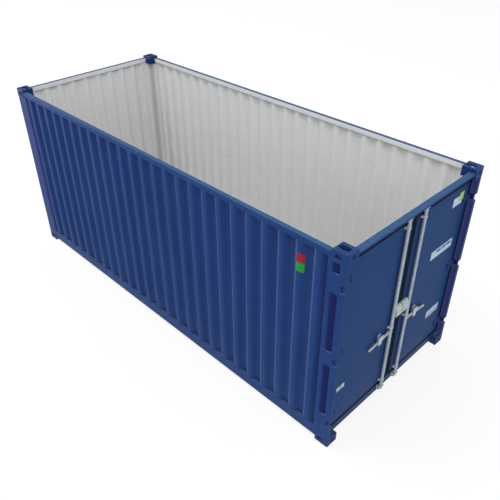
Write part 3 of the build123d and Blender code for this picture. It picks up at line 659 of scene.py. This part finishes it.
GEAR_EDGE = 0.0015
PIVOT_Y = 0.192
PIVOT_Z = 1.010
FORK_FACES = ((1, 2.9945), (-1, 2.9675))
finish_node("hinge_pins", greased, GEAR_EDGE)
for name in ("top_keepers", "bottom_keepers"):
    finish_node(name, zinc, GEAR_EDGE)
for side, sign in sides:
    finish_node(f"lock_bar_{side}", bar_zinc, GEAR_EDGE)
    for piece in ("handle", "bar_guides", "handle_retainer", "lock_box"):
        finish_node(f"{piece}_{side}", zinc, GEAR_EDGE)
    heads = []
    for way, x in FORK_FACES:
        head = start_round("head", (x, sign * PIVOT_Y, PIVOT_Z),
                           (x + way * 0.003, sign * PIVOT_Y, PIVOT_Z), 0.010)
        press(head, lambda centre, normal: normal.x * way > 0.9,
              inset=0.004, push=(way * 0.0014, 0, 0))
        soften(head, 0.0006)
        heads.append(head)
    dress(join(f"handle_pin_heads_{side}", heads), f"bar_{side}", zinc)

# Each guide and each retainer is held by two M12 bolts, 18 mm across the flats.
BAR_Y = 0.150
GUIDE_LEVELS = (0.237, 1.075, 2.383)
GUIDE_BOLT_OUT = 0.034
RETAINER_Y = 0.345
RETAINER_BOLT_OUT = 0.014
RETAINER_BOLT_Z = 1.061
GEAR_PLATE_X = 2.961


def hex_bolt(name):
    """A washer and a hexagon head with a chamfered top, at the origin, facing +X."""
    washer = start_round(name, (0, 0, 0), (0.002, 0, 0), 0.0115)
    head = start_round("head", (0.002, 0, 0), (0.0085, 0, 0), 0.0105, around=6)
    press(head, lambda centre, normal: normal.x > 0.9, inset=0.0015, push=(0.001, 0, 0))
    bolt = join(name, [washer, head])
    soften(bolt, 0.0004, angle=30, steps=1)
    return bolt


for side, sign in sides:
    places = [Vector((GEAR_PLATE_X, sign * BAR_Y + way * GUIDE_BOLT_OUT, level))
              for level in GUIDE_LEVELS for way in (-1, 1)]
    places += [Vector((GEAR_PLATE_X, sign * RETAINER_Y + way * RETAINER_BOLT_OUT, RETAINER_BOLT_Z))
               for way in (-1, 1)]
    dress(repeat(f"gear_bolts_{side}", hex_bolt("bolt"), places), f"door_{side}", zinc)


# Doors
# Each leaf is a flat sheet welded on a frame of pressed tubes, painted blue outside and
# grey on all that stands behind the sheet. Its large flat face is painted a little darker
# and less red than the walls, as painted shade that offsets the sheen it shows at a low
# angle. The hinge blades are forged and bolted on.

SHEET_BACK_X = 2.9553
BLADE_FACE_X = 2.967
HINGE_LEVELS = (0.360, 1.2825, 2.205)
HINGE_BOLTS_Y = (1.0835, 1.0405)
forged_paint = container_paint("blue_paint_on_forgings", grain=0.009, depth=0.0008)
# The leaf's darker, less red blue is painted shade.
leaf_paint = container_paint(
    "door_leaf_paint", reach=[("X", "LESS_THAN", SHEET_BACK_X)], blue="#103465", faded="#173C6B")
for side, sign in sides:
    finish_node(f"door_leaf_{side}", leaf_paint, edge=0.002)
    finish_node(f"hinge_blades_{side}", forged_paint, edge=0.0015)
    places = [Vector((BLADE_FACE_X, sign * y, level)) for level in HINGE_LEVELS
              for y in HINGE_BOLTS_Y]
    dress(repeat(f"hinge_bolts_{side}", hex_bolt("bolt"), places), f"door_{side}", forged_paint)


# Door seals
# Black extruded rubber with a lip along both edges of its face, clamped round the leaf's
# edge by flat strips of galvanised steel and blind rivets about 150 mm apart. A fin of the
# left leaf's seal lies behind the right one's lip and closes the gap between the leaves.

# The rubber is a dull black that bloom greys in patches.
rubber, rubber_output = new_material("black_extruded_rubber")
place = add_node(rubber, "ShaderNodeTexCoord")
bloom = add_node(rubber, "ShaderNodeTexNoise", None, {
    "Vector": place.outputs["Object"], "Scale": 14.0, "Detail": 6.0})
rubber_colour = add_node(rubber, "ShaderNodeMix", {"data_type": "RGBA"}, {
    0: bloom.outputs["Fac"], 6: linear("#040A18"), 7: linear("#121E2C")})
rubber_bump = add_node(rubber, "ShaderNodeBump", None, {
    "Height": bloom.outputs["Fac"], "Distance": 0.001, "Strength": 0.5})
rubber_shader = add_node(rubber, "ShaderNodeBsdfPrincipled", None, {
    "Base Color": rubber_colour.outputs[2], "Roughness": 0.75, "Specular IOR Level": 0.06,
    "Normal": rubber_bump.outputs["Normal"]})
rubber.node_tree.links.new(rubber_shader.outputs[0], rubber_output.inputs[0])

SEAL_FACE_BEYOND_X = 2.955
STRIP_X = (2.905, 2.907)
STRIP_Y = (0.052, 1.1115)
STRIP_Z = (0.219, 2.401)
STRIP_W = 0.025
RIVET_X = 2.9045
RIVETS_ACROSS = [0.055 + step * 0.1359 for step in range(8)]
RIVETS_UP = [0.31 + step * 0.1535 for step in range(14)]
for side, sign in sides:
    seal = worked_copy(f"gasket_{side}")
    press(seal, lambda centre, normal: normal.x > 0.9 and centre.x > SEAL_FACE_BEYOND_X,
          inset=0.009, push=(-0.0025, 0, 0))
    soften(seal, 0.0012)
    dress(seal, f"door_{side}", rubber)
    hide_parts(f"gasket_{side}")

    near, far = sorted(sign * y for y in STRIP_Y)
    foot, top = STRIP_Z
    strips = []
    for low, high in (((near, foot), (far, foot + STRIP_W)),
                      ((near, top - STRIP_W), (far, top)),
                      ((near, foot + STRIP_W), (near + STRIP_W, top - STRIP_W)),
                      ((far - STRIP_W, foot + STRIP_W), (far, top - STRIP_W))):
        strip = start_block("strip", (STRIP_X[0], *low), (STRIP_X[1], *high))
        press(strip, lambda centre, normal: normal.x < -0.9, inset=0.003, push=(-0.0008, 0, 0))
        soften(strip, 0.0004)
        strips.append(strip)
    dress(join(f"seal_strip_{side}", strips), f"door_{side}", zinc)

    rivet = start_round("rivet", (0, 0, 0), (-0.0015, 0, 0), 0.005, around=12)
    press(rivet, lambda centre, normal: normal.x < -0.9, inset=0.002, push=(-0.0012, 0, 0))
    soften(rivet, angle=50)
    places = [Vector((RIVET_X, near + step, z)) for step in RIVETS_ACROSS
              for z in (foot + STRIP_W / 2, top - STRIP_W / 2)]
    places += [Vector((RIVET_X, y, z)) for z in RIVETS_UP
               for y in (near + STRIP_W / 2, far - STRIP_W / 2)]
    dress(repeat(f"seal_rivets_{side}", rivet, places), f"door_{side}", zinc)
fin = start_block("seal_fin", (2.944, -0.0165, 0.1815), (2.9475, 0.011, 2.4385))
press(fin, lambda centre, normal: normal.y > 0.9, inset=0.001, push=(0, 0.0015, 0))
soften(fin, 0.0004)
dress(fin, "door_left", rubber)


# Labels and plates
# Vinyl film stuck on the paint of the doors and of the side wall, and thin plates riveted
# to the doors. All are plain fields of colour.

DOOR_FACE_X = 2.957
FILM_T = 0.0006
OVERLAP = 0.0002


def vinyl_film(name, colour, faded, share):
    """Printed vinyl film: one colour under a clear coat, with patches that have faded."""
    film, output = new_material(name)
    place = add_node(film, "ShaderNodeTexCoord")
    handled = add_node(film, "ShaderNodeTexNoise", None, {
        "Vector": place.outputs["Object"], "Scale": 22.0, "Detail": 6.0, "Roughness": 0.7})
    patches = add_node(film, "ShaderNodeMapRange", None, {
        "Value": handled.outputs["Fac"], "From Min": 0.45, "From Max": 0.65, "To Max": share})
    dulled = add_node(film, "ShaderNodeMix", {"data_type": "RGBA"}, {
        0: patches.outputs[0], 6: linear(colour), 7: linear(faded)})
    wrinkle = add_node(film, "ShaderNodeBump", None, {
        "Height": handled.outputs["Fac"], "Distance": 0.0004, "Strength": 0.5})
    shader = add_node(film, "ShaderNodeBsdfPrincipled", None, {
        "Base Color": dulled.outputs[2], "Roughness": 0.4, "Specular IOR Level": 0.15,
        "Normal": wrinkle.outputs["Normal"]})
    film.node_tree.links.new(shader.outputs[0], output.inputs[0])
    return film


def label(name, low, high, material, x=DOOR_FACE_X):
    """A film on the right door's face, with a raised middle inside a narrow margin."""
    piece = start_block(name, (x, *low), (x + FILM_T, *high))
    press(piece, lambda centre, normal: normal.x > 0.9, inset=0.004, push=(0.0002, 0, 0))
    soften(piece, 0.0002)
    dress(piece, "door_right", material)


white_film = vinyl_film("white_vinyl_film", "#AFC0CD", "#748EA4", 0.8)
lime_film = vinyl_film("yellow_green_vinyl_film", "#8CA85C", "#A9BF86", 0.6)
blue_film = vinyl_film("blue_vinyl_film", "#27477F", "#5C7BA8", 0.5)
label("upper_label_white", (0.804, 2.190), (1.000, 2.300), white_film)
label("upper_label_lime", (0.935, 2.225), (1.020, 2.335), lime_film,
      x=DOOR_FACE_X + FILM_T + OVERLAP)
label("long_label_white", (0.531, 1.612), (0.985, 1.726), white_film)

STRIPE = (0.094, 0.036)
STRIPE_X = (2.9577, 2.9582)
STRIPES_FROM = (0.640, 1.674)
STRIPE_PITCH = 0.112
stripe = start_block("stripe", (STRIPE_X[0], 0, 0), (STRIPE_X[1], *STRIPE))
press(stripe, lambda centre, normal: normal.x > 0.9, inset=0.003, push=(0.0001, 0, 0))
soften(stripe, 0.0002)
stripes = repeat("long_label_stripes", stripe, [
    Vector((0, STRIPES_FROM[0] + step * STRIPE_PITCH, STRIPES_FROM[1])) for step in range(3)])
dress(stripes, "door_right", blue_film)

# Aluminium, brushed and anodised: a soft grey sheen with fine level lines under patches of
# dirt. The lines are drawn about 1 mm apart, coarser than they are, so that they show.
anodised, anodised_output = new_material("anodised_aluminium_plate")
place = add_node(anodised, "ShaderNodeTexCoord")
brushing = add_node(anodised, "ShaderNodeMapping", None, {
    "Vector": place.outputs["Object"], "Scale": (20.0, 20.0, 900.0)})
brushed = add_node(anodised, "ShaderNodeTexNoise", None, {
    "Vector": brushing.outputs["Vector"], "Scale": 1.0, "Detail": 3.0})
plate_tone = add_node(anodised, "ShaderNodeMix", {"data_type": "RGBA"}, {
    0: brushed.outputs["Fac"], 6: linear("#9DB0BD"), 7: linear("#BACAD4")})
weather = add_node(anodised, "ShaderNodeTexNoise", None, {
    "Vector": place.outputs["Object"], "Scale": 11.0, "Detail": 6.0, "Roughness": 0.65})
weather_share = add_node(anodised, "ShaderNodeMapRange", None, {
    "Value": weather.outputs["Fac"], "From Min": 0.44, "From Max": 0.6, "To Max": 0.8})
plate_dirt = add_node(anodised, "ShaderNodeMix", {"data_type": "RGBA"}, {
    0: weather_share.outputs[0], 6: plate_tone.outputs[2], 7: linear("#66788F")})
plate_shader = add_node(anodised, "ShaderNodeBsdfPrincipled", None, {
    "Base Color": plate_dirt.outputs[2], "Metallic": 0.3, "Roughness": 0.45})
anodised.node_tree.links.new(plate_shader.outputs[0], anodised_output.inputs[0])

PLATE_T = 0.0012
PLATE_BED = 0.0002
RIVET_IN = 0.006
for name, low, high, body in (
        ("lower_plate", (0.735, 0.622), (1.012, 0.738), "door_right"),
        ("small_plate", (-1.051, 0.697), (-0.919, 0.763), "door_left")):
    plate = start_block(name, (DOOR_FACE_X, *low), (DOOR_FACE_X + PLATE_T, *high))
    press(plate, lambda centre, normal: normal.x > 0.9, inset=0.012, push=(-0.0004, 0, 0))
    soften(plate, 0.0003)
    dress(plate, body, anodised)
    rivet = start_round("rivet", (0, 0, 0), (0.0012, 0, 0), 0.004, around=12)
    press(rivet, lambda centre, normal: normal.x > 0.9, inset=0.0016, push=(0.001, 0, 0))
    soften(rivet, angle=50)
    places = [Vector((DOOR_FACE_X + PLATE_T - PLATE_BED, y, z))
              for y in (low[0] + RIVET_IN, high[0] - RIVET_IN)
              for z in (low[1] + RIVET_IN, high[1] - RIVET_IN)]
    dress(repeat(f"{name}_rivets", rivet, places), body, zinc)

WALL_FLAT_X = 2.4785
WALL_FLAT_Y = -1.2114
WALL_FLAT_W = 0.061


def wall_film(name, z0, z1, material):
    """A film that lies on one outer flat of the side wall and round its bend on to the slope."""
    clear_selection()
    bpy.ops.mesh.primitive_plane_add(
        size=1, location=(WALL_FLAT_X, WALL_FLAT_Y, (z0 + z1) / 2), rotation=(radians(90), 0, 0))
    bpy.context.active_object.scale = (WALL_FLAT_W, z1 - z0, 1)
    film = settle(name)
    edge_x = max(corner.co.x for corner in film.data.vertices)
    open_edges(film, lambda a, b: min(a.x, b.x) > edge_x - HAIR)
    for step in ((0.008, 0.0022, 0), (0.024, 0.0166, 0)):
        bpy.ops.mesh.extrude_region_move(TRANSFORM_OT_translate={"value": step})
    bpy.ops.object.mode_set(mode="OBJECT")
    thick = film.modifiers.new("film", "SOLIDIFY")
    thick.thickness = 0.0004
    thick.offset = 1
    bpy.ops.object.modifier_apply(modifier="film")
    soften(film)
    dress(film, "frame", material)


wall_film("red_square", 2.256, 2.356, vinyl_film("red_vinyl_film", "#8A1420", "#641A32", 0.5))
wall_film("green_square", 2.146, 2.252, vinyl_film("green_vinyl_film", "#148426", "#1C6E44", 0.4))


# Studio
# A plain pale floor, an even white surround, two large soft lamps high over the front end
# and before the doors, and one low lamp far off that lights the waves from the front end.

camera_data = bpy.data.cameras.new("camera")
camera_data.lens = 41.61
camera_data.sensor_width = 36.0
camera = bpy.data.objects.new("camera", camera_data)
bpy.context.scene.collection.objects.link(camera)
right = Vector((0.70386, 0.71033, -0.00424))
up = Vector((-0.40225, 0.40349, 0.82182))
back = right.cross(up)
spot = Vector((5.2980, -4.6305, 5.4490))
camera.matrix_world = Matrix((
    (right.x, up.x, back.x, spot.x),
    (right.y, up.y, back.y, spot.y),
    (right.z, up.z, back.z, spot.z),
    (0, 0, 0, 1)))
bpy.context.scene.camera = camera

# The floor takes the shadow, and looks white to the camera and in reflections.
studio, studio_output = new_material("pale_studio_floor")
lit = add_node(studio, "ShaderNodeBsdfDiffuse", None, {"Color": linear("#F4F4F4")})
plain = add_node(studio, "ShaderNodeEmission", None, {"Color": (1, 1, 1, 1), "Strength": 1.0})
ray = add_node(studio, "ShaderNodeLightPath")
mirrored = add_node(studio, "ShaderNodeMath", {"operation": "MAXIMUM"}, {
    0: ray.outputs["Is Glossy Ray"], 1: ray.outputs["Is Transmission Ray"]})
seen = add_node(studio, "ShaderNodeMath", {"operation": "MAXIMUM"}, {
    0: ray.outputs["Is Camera Ray"], 1: mirrored.outputs[0]})
share = add_node(studio, "ShaderNodeMath", {"operation": "MULTIPLY"}, {0: seen.outputs[0], 1: 0.8})
mixed = add_node(studio, "ShaderNodeMixShader", None, {
    0: share.outputs[0], 1: lit.outputs[0], 2: plain.outputs[0]})
studio.node_tree.links.new(mixed.outputs[0], studio_output.inputs[0])
clear_selection()
bpy.ops.mesh.primitive_plane_add(size=400, location=(0, 0, -0.001))
studio_floor = settle("studio_floor")
studio_floor.data.materials.append(studio)

world = bpy.data.worlds.new("studio_surround")
bpy.context.scene.world = world
world.use_nodes = True
surround = world.node_tree.nodes["Background"]
surround.inputs["Color"].default_value = (1, 1, 1, 1)
path = add_node(world, "ShaderNodeLightPath")
lift = add_node(world, "ShaderNodeMapRange", None, {
    "Value": path.outputs["Is Camera Ray"], "To Min": 0.85, "To Max": 0.97})
world.node_tree.links.new(lift.outputs["Result"], surround.inputs["Strength"])


def add_lamp(name, at, aim, size, power):
    """A large square lamp turned towards a point."""
    data = bpy.data.lights.new(name, "AREA")
    data.shape = "SQUARE"
    data.size = size
    data.energy = power
    lamp = bpy.data.objects.new(name, data)
    lamp.location = at
    lamp.rotation_euler = (Vector(aim) - Vector(at)).to_track_quat("-Z", "Y").to_euler()
    bpy.context.scene.collection.objects.link(lamp)


add_lamp("high_lamp", (-8.0, -8.0, 22.5), (0, 0, 1), 9.0, 1300)
add_lamp("door_lamp", (11.0, -6.0, 20.0), (0, 0, 1), 9.0, 1500)
add_lamp("front_lamp", (-24.0, -4.2, 1.6), (0, 0, 1.3), 2.4, 8500)

bpy.context.scene.view_settings.view_transform = "Standard"
